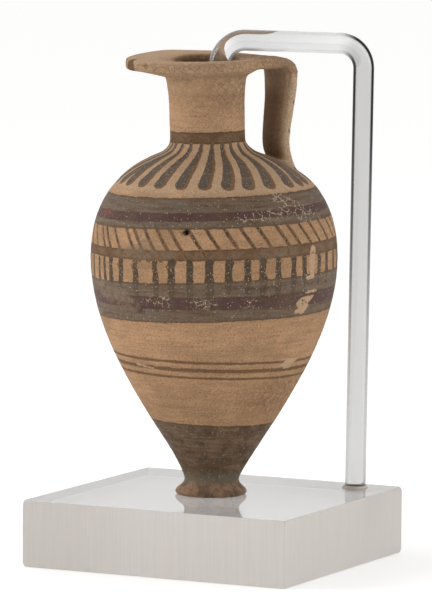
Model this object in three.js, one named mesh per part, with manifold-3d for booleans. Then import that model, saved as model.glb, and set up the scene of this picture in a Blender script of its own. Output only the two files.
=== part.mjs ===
// A small painted oil flask with a pointed body, a flat disc lip and one strap handle, on its
// display foot: a clear block with a bent clear rod that reaches over into the mouth.
// Units are millimetres and +Z is up. The origin is the middle of the block's underside.
// X runs along the block's long front edge, and the handle points to its far right corner.
import * as THREE from 'three';
import { mergeVertices } from 'three/addons/utils/BufferGeometryUtils.js';
import Module from 'manifold-3d';

const wasm = await Module();
wasm.setup();

// The clear block that everything stands on.
const blockWidth = 83.0;
const blockDepth = 76.5;
const blockThickness = 19.05;
const cornerChamfer = 0.9;
const edgeBreak = 0.3;

// The bent clear rod: a leg glued into the block, a level arm, and a drop into the mouth.
const rodDiameter = 6.0;
const legX = 30.2;
const legY = 30.5;
const legLean = THREE.MathUtils.degToRad(0.75);
const legBend = 7.4;
const mouthBend = 7.6;
const dropLean = THREE.MathUtils.degToRad(3);
const dropLength = 14.0;
const dropOffset = 4.0;
const armClearance = 1.2;
const armFall = 1.4;
const socketDepth = 10.0;
const socketClearance = 0.3;

// The vase, thrown as one piece with its handle, measured up from its own foot.
const vaseHeight = 125.6;
const bellyRadius = 35.2;
const bellyHeight = 67.8;
const footRadius = 10.0;
const footEdge = 0.6;
const footRing = 7.0;
const waistRadius = 7.7;
const waistHeight = 4.5;
const shoulderRadius = 13.6;
const shoulderHeight = 98.3;
const neckRadius = 10.7;
const neckFoot = 102.2;
const neckFilletRise = 1.56;
const lipRadius = 22.8;
const lipThickness = 3.3;
const lipRound = 1.1;
const lipCone = 1.6;
const lipDish = 0.7;
const lipFlatReach = 15.5;
const lipFillet = 1.6;
const boreRadius = 8.1;
const mouthRound = 1.0;
const bodyWall = 3.0;
const shoulderInset = 1.2;
const floorThickness = 7.0;
const footHollow = 0.8;

// How full the body's two long curves are, as shares of the stretch that each one covers.
const lowerFullness = 0.42;
const lowerRise = new THREE.Vector2(0.126, 0.163);
const upperFullness = 0.58;
const upperSweep = new THREE.Vector2(0.614, 0.159);

// The strap handle, and the way it faces, counted from +X towards +Y.
const handleAngle = THREE.MathUtils.degToRad(52.9);
const handleReach = 25.5;
const handleThickness = 2.9;
const handleTopThickness = 3.8;
const handleTopWidth = 16.0;
const handleFootWidth = 11.5;
const handleCorner = 4.0;
const handleInnerCorner = 1.2;
const handleSetDown = 0.15;
const handleTaper = 2.4;
const handleBow = 6.5;
const handleFootDrop = 5.3;
const handleFlare = 1.8;
const handleFlareRise = 4.8;
const handleEdge = 0.8;

// The potter's lean: the foot and the neck stand a little away from the handle's side.
const vaseX = -0.3;
const vaseY = -0.1;
const footShift = 0.65;
const footShiftHeight = 11.0;
const neckShift = 2.3;
const neckLean = THREE.MathUtils.degToRad(1.7);
const lipSag = 0.6;
const leanStart = 88.0;

// How finely the round forms are cut into flats.
const roundSides = 44;
const rodSides = 14;
const curveSteps = 11;
const cornerSteps = 5;
const smallSteps = 3;
const neckSteps = 4;
const legBendSteps = 7;
const mouthBendSteps = 8;

const handleDirection = new THREE.Vector2(Math.cos(handleAngle), Math.sin(handleAngle));
const handleFoot = shoulderHeight - handleFootDrop;
const rodRadius = rodDiameter / 2;
const neckWall = neckRadius - boreRadius;

// Solids for joining and cutting.
function toManifold(geometry) {
  const plain = geometry.clone();
  plain.deleteAttribute('normal');
  plain.deleteAttribute('uv');
  const merged = mergeVertices(plain, 1e-4);
  const mesh = new wasm.Mesh({
    numProp: 3,
    vertProperties: new Float32Array(merged.attributes.position.array),
    triVerts: new Uint32Array(merged.index.array),
  });
  return new wasm.Manifold(mesh);
}

function toGeometry(solid) {
  const mesh = solid.getMesh();
  const geometry = new THREE.BufferGeometry();
  geometry.setAttribute('position', new THREE.BufferAttribute(mesh.vertProperties, 3));
  geometry.setIndex(new THREE.BufferAttribute(mesh.triVerts, 1));
  geometry.computeVertexNormals();
  return geometry;
}

function named(name, geometry, material) {
  const mesh = new THREE.Mesh(geometry, material);
  mesh.name = name;
  return mesh;
}

// Turned forms: a profile of (radius, height) points, spun about +Z.
function turned(profile) {
  const geometry = new THREE.LatheGeometry(profile, roundSides);
  geometry.rotateX(Math.PI / 2);
  return geometry;
}

function alongCurve(curve, steps) {
  return curve.getPoints(steps).slice(1);
}

// A quarter of a circle from one point to the next, about a corner's centre.
function roundCorner(centre, radius, startDegrees, endDegrees) {
  const start = THREE.MathUtils.degToRad(startDegrees);
  const end = THREE.MathUtils.degToRad(endDegrees);
  return new THREE.ArcCurve(centre.x, centre.y, radius, start, end).getPoints(smallSteps);
}

// The body's outline from the waist above the foot to the belly, grown inwards by a wall.
function lowerBody(wall) {
  const rise = bellyHeight - waistHeight;
  const spread = bellyRadius - waistRadius;
  return new THREE.CubicBezierCurve(
    new THREE.Vector2(waistRadius - wall, waistHeight),
    new THREE.Vector2(waistRadius - wall + spread * lowerRise.x, waistHeight + rise * lowerRise.y),
    new THREE.Vector2(bellyRadius - wall, bellyHeight - rise * lowerFullness),
    new THREE.Vector2(bellyRadius - wall, bellyHeight),
  );
}

// The outline from the belly over the shoulder to the foot of the neck.
function upperBody(wall) {
  const rise = shoulderHeight - bellyHeight;
  const spread = bellyRadius - shoulderRadius;
  return new THREE.CubicBezierCurve(
    new THREE.Vector2(bellyRadius - wall, bellyHeight),
    new THREE.Vector2(bellyRadius - wall, bellyHeight + rise * upperFullness),
    new THREE.Vector2(
      shoulderRadius + spread * upperSweep.x - wall,
      shoulderHeight - rise * upperSweep.y - wall,
    ),
    new THREE.Vector2(shoulderRadius - (wall > 0 ? shoulderInset : 0), shoulderHeight - wall),
  );
}

function outerProfile() {
  const footBottom = new THREE.Vector2(footRadius - footEdge, 0);
  const lipUnder = vaseHeight - lipThickness;
  const lipEdgeCentreTop = new THREE.Vector2(lipRadius - lipRound, vaseHeight - lipRound);
  const lipEdgeCentreLow = new THREE.Vector2(lipRadius - lipRound, lipUnder + lipRound);
  const footCurve = new THREE.CubicBezierCurve(
    new THREE.Vector2(footRadius, footEdge),
    new THREE.Vector2(footRadius, waistHeight / 2),
    new THREE.Vector2(waistRadius, waistHeight / 2),
    new THREE.Vector2(waistRadius, waistHeight),
  );
  const neckFillet = new THREE.QuadraticBezierCurve(
    new THREE.Vector2(shoulderRadius, shoulderHeight),
    new THREE.Vector2(neckRadius, shoulderHeight + neckFilletRise),
    new THREE.Vector2(neckRadius, neckFoot),
  );
  const neckFlare = new THREE.QuadraticBezierCurve(
    new THREE.Vector2(neckRadius, (neckFoot + lipUnder) / 2),
    new THREE.Vector2(neckRadius + lipFillet / 3, lipUnder - lipCone - lipFillet),
    new THREE.Vector2(neckRadius + lipFillet, lipUnder - lipCone),
  );
  return [
    new THREE.Vector2(0, footHollow),
    new THREE.Vector2(footRing, 0),
    footBottom,
    ...footCurve.getPoints(cornerSteps),
    ...alongCurve(lowerBody(0), curveSteps),
    ...alongCurve(upperBody(0), curveSteps),
    ...alongCurve(neckFillet, smallSteps),
    ...neckFlare.getPoints(neckSteps),
    ...roundCorner(lipEdgeCentreLow, lipRound, -90, 0),
    ...roundCorner(lipEdgeCentreTop, lipRound, 0, 90),
    new THREE.Vector2(boreRadius / 2, vaseHeight),
    new THREE.Vector2(0, vaseHeight),
  ];
}

// The hollow: the belly's space, the bore of the neck and the dished mouth above it.
function innerProfile() {
  const overTop = vaseHeight + lipThickness;
  const mouthEdge = vaseHeight - lipDish;
  const lower = lowerBody(bodyWall).getPoints(curveSteps);
  return [
    new THREE.Vector2(0, floorThickness),
    ...lower.filter((point) => point.y > floorThickness && point.x > 0),
    ...alongCurve(upperBody(bodyWall), curveSteps),
    new THREE.Vector2(boreRadius, neckFoot),
    new THREE.Vector2(boreRadius, mouthEdge - mouthRound),
    new THREE.Vector2(boreRadius + mouthRound / 3, mouthEdge - mouthRound / 3),
    new THREE.Vector2(boreRadius + mouthRound, mouthEdge),
    new THREE.Vector2(lipRadius - lipRound * 2, vaseHeight),
    new THREE.Vector2(lipRadius - lipRound * 2, overTop),
    new THREE.Vector2(0, overTop),
  ];
}

// The handle's side outline: out from the lip, round the corner and down to the shoulder.
// The extrusion's bevel grows it by the edge's width, so the outline is drawn that much smaller.
function handleOutline() {
  const top = vaseHeight - handleSetDown - handleEdge;
  const under = vaseHeight - handleSetDown - handleTopThickness + handleEdge;
  const root = boreRadius + neckWall / 2;
  const outer = handleReach - handleEdge;
  const inner = handleReach - handleThickness + handleEdge;
  const outerFoot = outer - handleTaper;
  const innerFoot = inner - handleTaper;
  const foot = handleFoot - handleEdge;
  const flareTop = handleFoot + handleFlareRise;
  const outline = new THREE.Shape();
  outline.moveTo(root, top);
  outline.lineTo(outer - handleCorner, top);
  outline.absarc(outer - handleCorner, top - handleCorner, handleCorner, Math.PI / 2, 0, true);
  outline.bezierCurveTo(
    outer, top - handleCorner - handleBow, outerFoot, flareTop + handleBow, outerFoot, flareTop,
  );
  outline.quadraticCurveTo(outerFoot, handleFoot + handleEdge, outerFoot + handleFlare, foot);
  outline.lineTo(innerFoot, foot);
  outline.lineTo(innerFoot, flareTop);
  outline.quadraticCurveTo(
    (inner + innerFoot) / 2, top - handleCorner - handleBow, inner, under - handleInnerCorner,
  );
  outline.absarc(inner - handleInnerCorner, under - handleInnerCorner, handleInnerCorner, 0, Math.PI / 2);
  outline.lineTo(root, under);
  outline.closePath();
  return outline;
}

function handleSolid() {
  const geometry = new THREE.ExtrudeGeometry(handleOutline(), {
    depth: handleTopWidth - handleEdge * 2,
    steps: 1,
    curveSegments: cornerSteps,
    bevelEnabled: true,
    bevelSize: handleEdge,
    bevelThickness: handleEdge,
    bevelSegments: 1,
  });
  geometry.translate(0, 0, handleEdge - handleTopWidth / 2);
  geometry.rotateX(Math.PI / 2);
  const place = geometry.attributes.position;
  for (let i = 0; i < place.count; i += 1) {
    const share = (place.getZ(i) - handleFoot) / (vaseHeight - handleCorner - handleFoot);
    const width = THREE.MathUtils.lerp(handleFootWidth, handleTopWidth, THREE.MathUtils.clamp(share, 0, 1));
    place.setY(i, place.getY(i) * width / handleTopWidth);
  }
  geometry.rotateZ(handleAngle);
  return toManifold(geometry);
}

// Moves the thrown form's foot and neck off the axis, away from the handle, and tilts the lip.
function leanVase(geometry) {
  const place = geometry.attributes.position;
  for (let i = 0; i < place.count; i += 1) {
    const x = place.getX(i);
    const y = place.getY(i);
    const z = place.getZ(i);
    const along = x * handleDirection.x + y * handleDirection.y;
    const neckShare = THREE.MathUtils.smoothstep(z, leanStart, neckFoot);
    const footShare = 1 - THREE.MathUtils.smoothstep(z, 0, footShiftHeight);
    const aboveNeck = Math.max(0, z - neckFoot) * Math.tan(neckLean);
    const shift = neckShare * neckShift + footShare * footShift + aboveNeck;
    const sag = lipSag * THREE.MathUtils.smoothstep(along, boreRadius, lipRadius - lipFillet);
    const lift = neckShare * (Math.min(along, 0) * Math.tan(neckLean) - sag);
    place.setXYZ(i, x - handleDirection.x * shift, y - handleDirection.y * shift, z + lift);
  }
  geometry.computeVertexNormals();
  return geometry;
}

// The two flats that bring the round lip in to the handle's sides, a quarter turn apart.
function cutLipFlats(solid) {
  const size = lipRadius * 2;
  const low = vaseHeight - lipThickness - lipCone - lipFillet;
  let cut = solid;
  for (const side of [-1, 1]) {
    const box = new THREE.BoxGeometry(size, size, size);
    box.translate(lipFlatReach + size / 2, 0, low + size / 2);
    box.rotateZ(handleAngle + side * Math.PI / 4);
    cut = cut.subtract(toManifold(box));
  }
  return cut;
}

function makeVase() {
  const clay = new THREE.MeshStandardMaterial({ color: 0xb08d69, roughness: 0.85, metalness: 0 });
  const thrown = cutLipFlats(toManifold(turned(outerProfile())));
  const outside = thrown.add(handleSolid());
  const solid = outside.subtract(toManifold(turned(innerProfile())));
  const vase = named('vase', leanVase(toGeometry(solid)), clay);
  vase.position.set(vaseX, vaseY, blockThickness);
  return vase;
}

// A path through points whose places along it count by number, so that each bend keeps its steps.
class BentPath extends THREE.Curve {
  constructor(points) {
    super();
    this.points = points;
  }

  getPoint(t, target = new THREE.Vector3()) {
    const last = this.points.length - 1;
    const index = Math.min(Math.floor(t * last + 1e-9), last - 1);
    return target.lerpVectors(this.points[index], this.points[index + 1], t * last - index);
  }

  getPointAt(u, target) {
    return this.getPoint(u, target);
  }

  getTangentAt(u, target) {
    return this.getTangent(u, target);
  }
}

// The rod's centre line, in the upright plane through the leg and the mouth.
// "out" runs from the leg towards the mouth, and "up" is height above the table.
function rodPath() {
  const mouthShift = neckShift + (vaseHeight - neckFoot) * Math.tan(neckLean);
  const mouth = new THREE.Vector2(vaseX, vaseY).addScaledVector(handleDirection, -mouthShift);
  const leg = new THREE.Vector2(legX, legY);
  const reach = leg.distanceTo(mouth) - dropOffset;
  const plan = mouth.clone().sub(leg).normalize();
  const lipTop = blockThickness + vaseHeight;
  const armHigh = lipTop + armClearance + rodRadius;
  const socketFloor = blockThickness - socketDepth;
  const armSlope = Math.atan2(armFall, reach - legBend - mouthBend);
  const legTop = armHigh - armFall - legBend;
  const legOut = -Math.tan(legLean) * (legTop - blockThickness);
  const legArc = new THREE.ArcCurve(
    legOut + legBend, legTop, legBend, Math.PI - legLean, Math.PI / 2 + armSlope, true,
  );
  const mouthArc = new THREE.ArcCurve(
    reach - mouthBend, armHigh - mouthBend, mouthBend, Math.PI / 2 + armSlope, dropLean, true,
  );
  const flat = [
    new THREE.Vector2(0, socketFloor + socketClearance),
    new THREE.Vector2(0, blockThickness),
    ...legArc.getPoints(legBendSteps),
    ...mouthArc.getPoints(mouthBendSteps),
  ];
  const end = flat[flat.length - 1].clone();
  end.x += Math.sin(dropLean) * dropLength;
  end.y -= Math.cos(dropLean) * dropLength;
  flat.push(end);
  return flat.map((point) => new THREE.Vector3(leg.x + plan.x * point.x, leg.y + plan.y * point.x, point.y));
}

function makeRod() {
  const acrylic = new THREE.MeshStandardMaterial({ color: 0xe4e6e6, roughness: 0.08, metalness: 0 });
  const path = rodPath();
  const section = new THREE.Shape();
  section.absarc(0, 0, rodRadius, 0, Math.PI * 2, false);
  const geometry = new THREE.ExtrudeGeometry(section, {
    steps: path.length - 1,
    curveSegments: rodSides / 2,
    extrudePath: new BentPath(path),
  });
  return named('stand_rod', geometry, acrylic);
}

function makeBlock() {
  const frosted = new THREE.MeshStandardMaterial({ color: 0xcfcac6, roughness: 0.35, metalness: 0 });
  const halfWidth = blockWidth / 2 - edgeBreak;
  const halfDepth = blockDepth / 2 - edgeBreak;
  const outline = new THREE.Shape();
  outline.moveTo(-halfWidth + cornerChamfer, -halfDepth);
  outline.lineTo(halfWidth - cornerChamfer, -halfDepth);
  outline.lineTo(halfWidth, -halfDepth + cornerChamfer);
  outline.lineTo(halfWidth, halfDepth - cornerChamfer);
  outline.lineTo(halfWidth - cornerChamfer, halfDepth);
  outline.lineTo(-halfWidth + cornerChamfer, halfDepth);
  outline.lineTo(-halfWidth, halfDepth - cornerChamfer);
  outline.lineTo(-halfWidth, -halfDepth + cornerChamfer);
  outline.closePath();
  const slab = new THREE.ExtrudeGeometry(outline, {
    depth: blockThickness - edgeBreak * 2,
    bevelEnabled: true,
    bevelSize: edgeBreak,
    bevelThickness: edgeBreak,
    bevelSegments: 1,
  });
  slab.translate(0, 0, edgeBreak);
  const socket = new THREE.CylinderGeometry(
    rodRadius + socketClearance, rodRadius + socketClearance, socketDepth * 2, rodSides * 2,
  );
  socket.rotateX(Math.PI / 2);
  socket.translate(legX, legY, blockThickness);
  const solid = toManifold(slab).subtract(toManifold(socket));
  return named('stand_block', toGeometry(solid), frosted);
}

const flaskOnStand = new THREE.Group();
flaskOnStand.add(makeBlock());
flaskOnStand.add(makeRod());
flaskOnStand.add(makeVase());

export default flaskOnStand;
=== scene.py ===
import functools
import math

import bmesh
import bpy
import numpy as np
from mathutils import Matrix, Vector, noise


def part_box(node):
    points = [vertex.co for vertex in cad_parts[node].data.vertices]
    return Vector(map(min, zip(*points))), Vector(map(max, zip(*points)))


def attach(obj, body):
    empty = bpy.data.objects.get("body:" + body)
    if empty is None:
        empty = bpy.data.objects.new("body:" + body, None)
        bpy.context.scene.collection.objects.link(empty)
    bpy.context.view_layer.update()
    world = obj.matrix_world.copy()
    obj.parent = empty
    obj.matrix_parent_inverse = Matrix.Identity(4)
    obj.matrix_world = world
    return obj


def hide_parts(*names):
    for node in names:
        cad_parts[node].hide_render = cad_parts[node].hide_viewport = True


bl_info = {
    "name": "Painted Oil Flask on a Clear Stand",
    "version": (1, 0, 0),
    "blender": (4, 5, 0),
    "location": "3D View > Sidebar > Flask",
    "description": "Builds a painted clay oil flask, a bent clear rod and a sawn clear block",
    "category": "Object",
}

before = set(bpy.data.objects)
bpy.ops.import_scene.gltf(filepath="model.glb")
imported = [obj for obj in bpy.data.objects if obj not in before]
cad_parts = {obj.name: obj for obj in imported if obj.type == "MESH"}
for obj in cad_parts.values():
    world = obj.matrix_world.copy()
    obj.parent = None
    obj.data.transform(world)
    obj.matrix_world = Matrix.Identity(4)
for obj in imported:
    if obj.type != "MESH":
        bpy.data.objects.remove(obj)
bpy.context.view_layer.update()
BLOCK_LOW, BLOCK_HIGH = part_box("stand_block")

# Shapes are modelled in millimetres and brought to metres once they are finished.
MM = 0.001
BLOCK_TOP = BLOCK_HIGH.z / MM

# How far round the camera and the handle stand, in degrees, and the level ways out to the handle
# and across it, towards the camera.
CAMERA_AZIMUTH = 26.872
HANDLE_AZIMUTH = 52.9
TO_HANDLE = np.array([
    math.cos(math.radians(HANDLE_AZIMUTH)), math.sin(math.radians(HANDLE_AZIMUTH)), 0,
])
ACROSS_HANDLE = np.cross(TO_HANDLE, (0, 0, 1))

# Where the neck starts and the lip ends, the lip's radius, how far the neck stands off the flask's
# axis, away from the handle, and how its lip slopes up towards the handle.
NECK_FOOT = 102.2
LIP_TOP = 125.6
LIP_RADIUS = 22.8
NECK_SHIFT = 2.3
LIP_SLOPE = math.tan(math.radians(1.7))

# The rod's slack in its socket, and the sides of round things that are looked at closely.
SOCKET_SLACK = 0.3
ROUND_SIDES = 64

# The painted areas. Each is an attribute of the flask: the distance in from its edge, in
# millimetres.
PAINT_EDGES = (
    "band_edge", "brown_edge", "purple_edge", "stroke_edge", "core_edge", "crimson_edge",
    "worn_edge",
)
# Other attributes that the material reads. Among them are painted shade and painted light on the
# clay, and painted shade in pits.
OTHER_FIELDS = (
    "line_height", "shade", "handled", "dusty", "scored", "smeared", "pit", "slant_sine",
    "slant_cosine", "slant_pitch", "slant_zone",
)


# ---------------------------------------------------------------- sizes and colours


def colour(code):
    """An sRGB hex colour as the linear red, green, blue and alpha that Blender works in."""
    parts = [int(code[i:i + 2], 16) / 255 for i in (0, 2, 4)]
    return [p / 12.92 if p <= 0.04045 else ((p + 0.055) / 1.055) ** 2.4 for p in parts] + [1.0]


def length(name, description, millimetres):
    return bpy.props.FloatProperty(
        name=name, description=description, default=millimetres * MM, precision=5,
        subtype="DISTANCE", unit="LENGTH",
    )


def tint(name, description, code):
    return bpy.props.FloatVectorProperty(
        name=name, description=description, default=colour(code), size=4, min=0.0, max=1.0,
        subtype="COLOR",
    )


class FlaskSizes(bpy.types.PropertyGroup):
    """The sizes that a user would change."""

    axis_x: length("Axis X", "Where the flask's axis stands, left to right", -0.3)
    axis_y: length("Axis Y", "Where the flask's axis stands, front to back", -0.1)
    skin: length("Skin Grain", "Edge length of the small faces of the flask's skin", 0.62)
    leg_x: length("Leg X", "Where the rod's leg stands, left to right", 30.2)
    leg_y: length("Leg Y", "Where the rod's leg stands, front to back", 30.5)
    rod_diameter: length("Rod Diameter", "Thickness of the clear rod", 6.0)
    arm_clearance: length("Arm Clearance", "Gap between the flask's lip and the rod's arm", 1.2)
    socket_depth: length("Socket Depth", "How deep the rod's hole is drilled into the block", 10.0)
    saw_edge: length("Saw Edge", "Width of the broken edge round the block's faces", 0.3)
    saw_corner: length("Saw Corner", "Width of the rounding on the block's upright corners", 0.6)


class FlaskColours(bpy.types.PropertyGroup):
    """The colours that a user would change."""

    clay: tint("Clay", "Smoothed buff clay", "A28060")
    clay_warm: tint("Warm Clay", "Where the kiln left the clay pinker", "B38D6B")
    # Dull clay is also laid as mottling that is partly painted shade, low on the body's right and
    # on the neck's right.
    clay_dull: tint("Dull Clay", "Where the clay is greyer and handled", "83674D")
    # Pale clay is painted light on the lip's top, the handle's near side and the upper faces, and
    # bare clay where the slip was knocked off.
    clay_lit_and_bare: tint("Pale Clay", "Dusty clay on top of the lip", "BFA588")
    slip: tint("Dark Slip", "The thick dark slip of bands and strokes", "594635")
    slip_worn: tint("Thin Slip", "Where the dark slip is thin or rubbed", "7F6C59")
    slip_cool: tint("Cool Slip", "Where the slip fired grey", "6A5F54")
    # Pooled slip is also the colour of the painted shade on the handle's inner face, inside the
    # mouth and in chips.
    pooled: tint("Pooled Slip", "The browner rim where the slip pooled at an edge", "5E4630")
    core: tint("Core Slip", "Where a brush stroke is thickest", "483A2C")
    foot_dark: tint("Dark Foot Slip", "Darker clouds in the foot's slip", "4A3A2C")
    foot: tint("Foot Slip", "The solid dark slip on the foot", "65503D")
    foot_cool: tint("Grey Foot Slip", "Where the foot's slip fired greenish grey", "746A59")
    foot_rim: tint("Foot Rim", "Where the slip on the foot's rim is worn brown", "9A7A60")
    purple: tint("Purple Slip", "The purple stripes laid over the dark slip", "533A36")
    crimson: tint("Crimson Slip", "A blot of redder slip on the upper purple stripe", "6E403B")
    brown: tint("Brown Slip", "The thin brown lines and narrow bands", "755B45")
    flush: tint("Flushed Slip", "Where a stroke is thin and fired orange-brown", "7B5B40")
    fleck: tint("Fleck", "Pale specks where grit shows through the slip", "B8A58D")
    acrylic: tint("Acrylic", "Clear acrylic", "FAFAFA")
    # Painted shade: the grey laid on the rod's leg and along the top of its arm.
    acrylic_shade: tint("Acrylic Shade", "The grey that a tall stretch of rod shows", "B6B5B5")
    # Painted reflection: the dark line laid along the rod's edges.
    acrylic_edge_reflection: tint("Acrylic Edge", "The dark line along the rod's edges", "181818")
    sawn: tint("Sawn Acrylic", "The milky sawn sides of the block", "E2DBD6")
    sawn_light: tint("Light Sawn Acrylic", "The lighter saw marks", "E8E2DD")
    cement: tint("Cement", "The bead of cement round the rod", "F3EADC")
    floor: tint("Floor", "The plain pale floor", "F4F4F3")


# ---------------------------------------------------------------- shape helpers


def bezier(points, steps):
    """Points along a Bezier curve of any order, with both ends."""
    result = []
    for step in range(steps + 1):
        row = [Vector(point) for point in points]
        while len(row) > 1:
            row = [a.lerp(b, step / steps) for a, b in zip(row, row[1:])]
        result.append(tuple(row[0]))
    return result


def arc(centre, radius, start, end, steps):
    """Points along an arc in a plane, between two angles in degrees."""
    angles = [math.radians(start + (end - start) * i / steps) for i in range(steps + 1)]
    return [(centre[0] + radius * math.cos(a), centre[1] + radius * math.sin(a)) for a in angles]


def smooth(value, low, high):
    """0 below low, 1 above high, and an even rise between."""
    share = np.clip((value - low) / (high - low), 0, 1)
    return share * share * (3 - 2 * share)


def turn(profile, sides):
    """A closed form turned about +Z from (radius, height) points that start and end on the axis."""
    bm = bmesh.new()
    points = [bm.verts.new((radius, 0, height)) for radius, height in profile]
    edges = [bm.edges.new(pair) for pair in zip(points, points[1:])]
    bmesh.ops.spin(
        bm, geom=points + edges, cent=(0, 0, 0), axis=(0, 0, 1), dvec=(0, 0, 0),
        angle=math.tau, steps=sides, use_merge=True,
    )
    bmesh.ops.remove_doubles(bm, verts=bm.verts, dist=1e-4)
    bmesh.ops.recalc_face_normals(bm, faces=bm.faces)
    return bm


def station(centre, along, across, half_across, half_deep):
    """The matrix that lays a unit outline square to a path, with its width along across."""
    forward = along.normalized()
    side = across.normalized()
    deep = forward.cross(side)
    turned = Matrix((side * half_across, deep * half_deep, forward)).transposed()
    return Matrix.Translation(centre) @ turned.to_4x4()


def sweep(stations, segments, squareness=1.0):
    """A closed tube: one round or squarish outline carried from station to station."""
    bm = bmesh.new()
    ring = bmesh.ops.create_circle(bm, cap_ends=True, segments=segments, radius=1)["verts"]
    for vert in ring:
        for axis in (0, 1):
            vert.co[axis] = math.copysign(abs(vert.co[axis]) ** squareness, vert.co[axis])
    bmesh.ops.transform(bm, verts=ring, matrix=stations[0])
    start = cap = bm.faces[:][0]
    for before, after in zip(stations, stations[1:]):
        grown = bmesh.ops.extrude_face_region(bm, geom=[cap])["geom"]
        verts = [part for part in grown if isinstance(part, bmesh.types.BMVert)]
        if cap.is_valid and cap is not start:
            bmesh.ops.delete(bm, geom=[cap], context="FACES_ONLY")
        cap = next(part for part in grown if isinstance(part, bmesh.types.BMFace))
        bmesh.ops.transform(bm, verts=verts, matrix=after @ before.inverted())
    bmesh.ops.recalc_face_normals(bm, faces=bm.faces)
    return bm


def object_from(bm, name):
    mesh = bpy.data.meshes.new(name)
    bm.to_mesh(mesh)
    bm.free()
    piece = bpy.data.objects.new(name, mesh)
    bpy.context.scene.collection.objects.link(piece)
    return piece


def settle(piece):
    """Applies the piece's modifiers to its mesh."""
    graph = bpy.context.evaluated_depsgraph_get()
    finished = bpy.data.meshes.new_from_object(piece.evaluated_get(graph))
    piece.modifiers.clear()
    old = piece.data
    piece.data = finished
    finished.name = piece.name
    bpy.data.meshes.remove(old)


def cut_away(piece, bm, name):
    """Takes a closed form out of the piece."""
    cutter = object_from(bm, name)
    cut = piece.modifiers.new("cut", "BOOLEAN")
    cut.operation = "DIFFERENCE"
    cut.solver = "EXACT"
    cut.object = cutter
    settle(piece)
    mesh = cutter.data
    bpy.data.objects.remove(cutter)
    bpy.data.meshes.remove(mesh)


def drill(piece, centre, radius, depth):
    """Bores a round upright hole into the piece, half of its depth to each side of its centre."""
    bm = bmesh.new()
    bmesh.ops.create_cone(
        bm, cap_ends=True, segments=ROUND_SIDES, radius1=radius, radius2=radius, depth=depth,
    )
    bmesh.ops.translate(bm, vec=centre, verts=bm.verts)
    cut_away(piece, bm, piece.name + "_hole")


def read_points(items, kind):
    """The vectors of a mesh's points or normals, as rows."""
    numbers = np.empty(len(items) * 3, np.float32)
    items.foreach_get(kind, numbers)
    return numbers.reshape(-1, 3).astype(float)


def write_fields(mesh, fields):
    """Stores numbers on a mesh's points, where its material reads them."""
    for name, numbers in fields.items():
        layer = mesh.attributes.new(name, "FLOAT", "POINT")
        layer.data.foreach_set("value", numbers.astype(np.float32))


def dress(piece, node, slot, *materials):
    """Rides the finished piece on the frame in a CAD node's place."""
    if len(piece.data.polygons) == 0:
        raise RuntimeError(piece.name + " came out empty")
    piece.data.materials.clear()
    for material in materials:
        piece.data.materials.append(material)
    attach(piece, "root")
    if node:
        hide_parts(node)


# ---------------------------------------------------------------- materials


# The setting that a second word in a node's kind gives. On other nodes it is the operation.
MODES = {"Mix": "data_type", "MapRange": "interpolation_type"}


def add(tree, kind, links=(), **settings):
    """Adds a node of a kind such as "Bump" or "Math ADD", with its settings.

    The links are values, sockets, or nodes whose first output counts. They go to the node's inputs
    by name, or else in order. A Map Range takes its value, where it starts and ends, and what it
    gives there; a Mix takes its factor and two colours.
    """
    kind, *mode = kind.split()
    node = tree.nodes.new("ShaderNode" + kind)
    if mode:
        setattr(node, MODES.get(kind, "operation"), mode[0])
    for key, value in settings.items():
        setattr(node, key, value)
    sockets = [socket for socket in node.inputs if socket.enabled]
    named = links if isinstance(links, dict) else dict(enumerate(links))
    for key, value in named.items():
        if isinstance(key, int):
            socket = sockets[key]
        else:
            socket = next(socket for socket in sockets if socket.name == key)
        if isinstance(value, bpy.types.Node):
            value = next(output for output in value.outputs if output.enabled)
        if isinstance(value, bpy.types.NodeSocket):
            tree.links.new(value, socket)
        else:
            socket.default_value = value
    return node


def new_material(name):
    """An empty node material, and the call that adds a node to it."""
    material = bpy.data.materials.new(name)
    material.use_nodes = True
    material.node_tree.nodes.clear()
    return material, functools.partial(add, material.node_tree)


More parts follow.
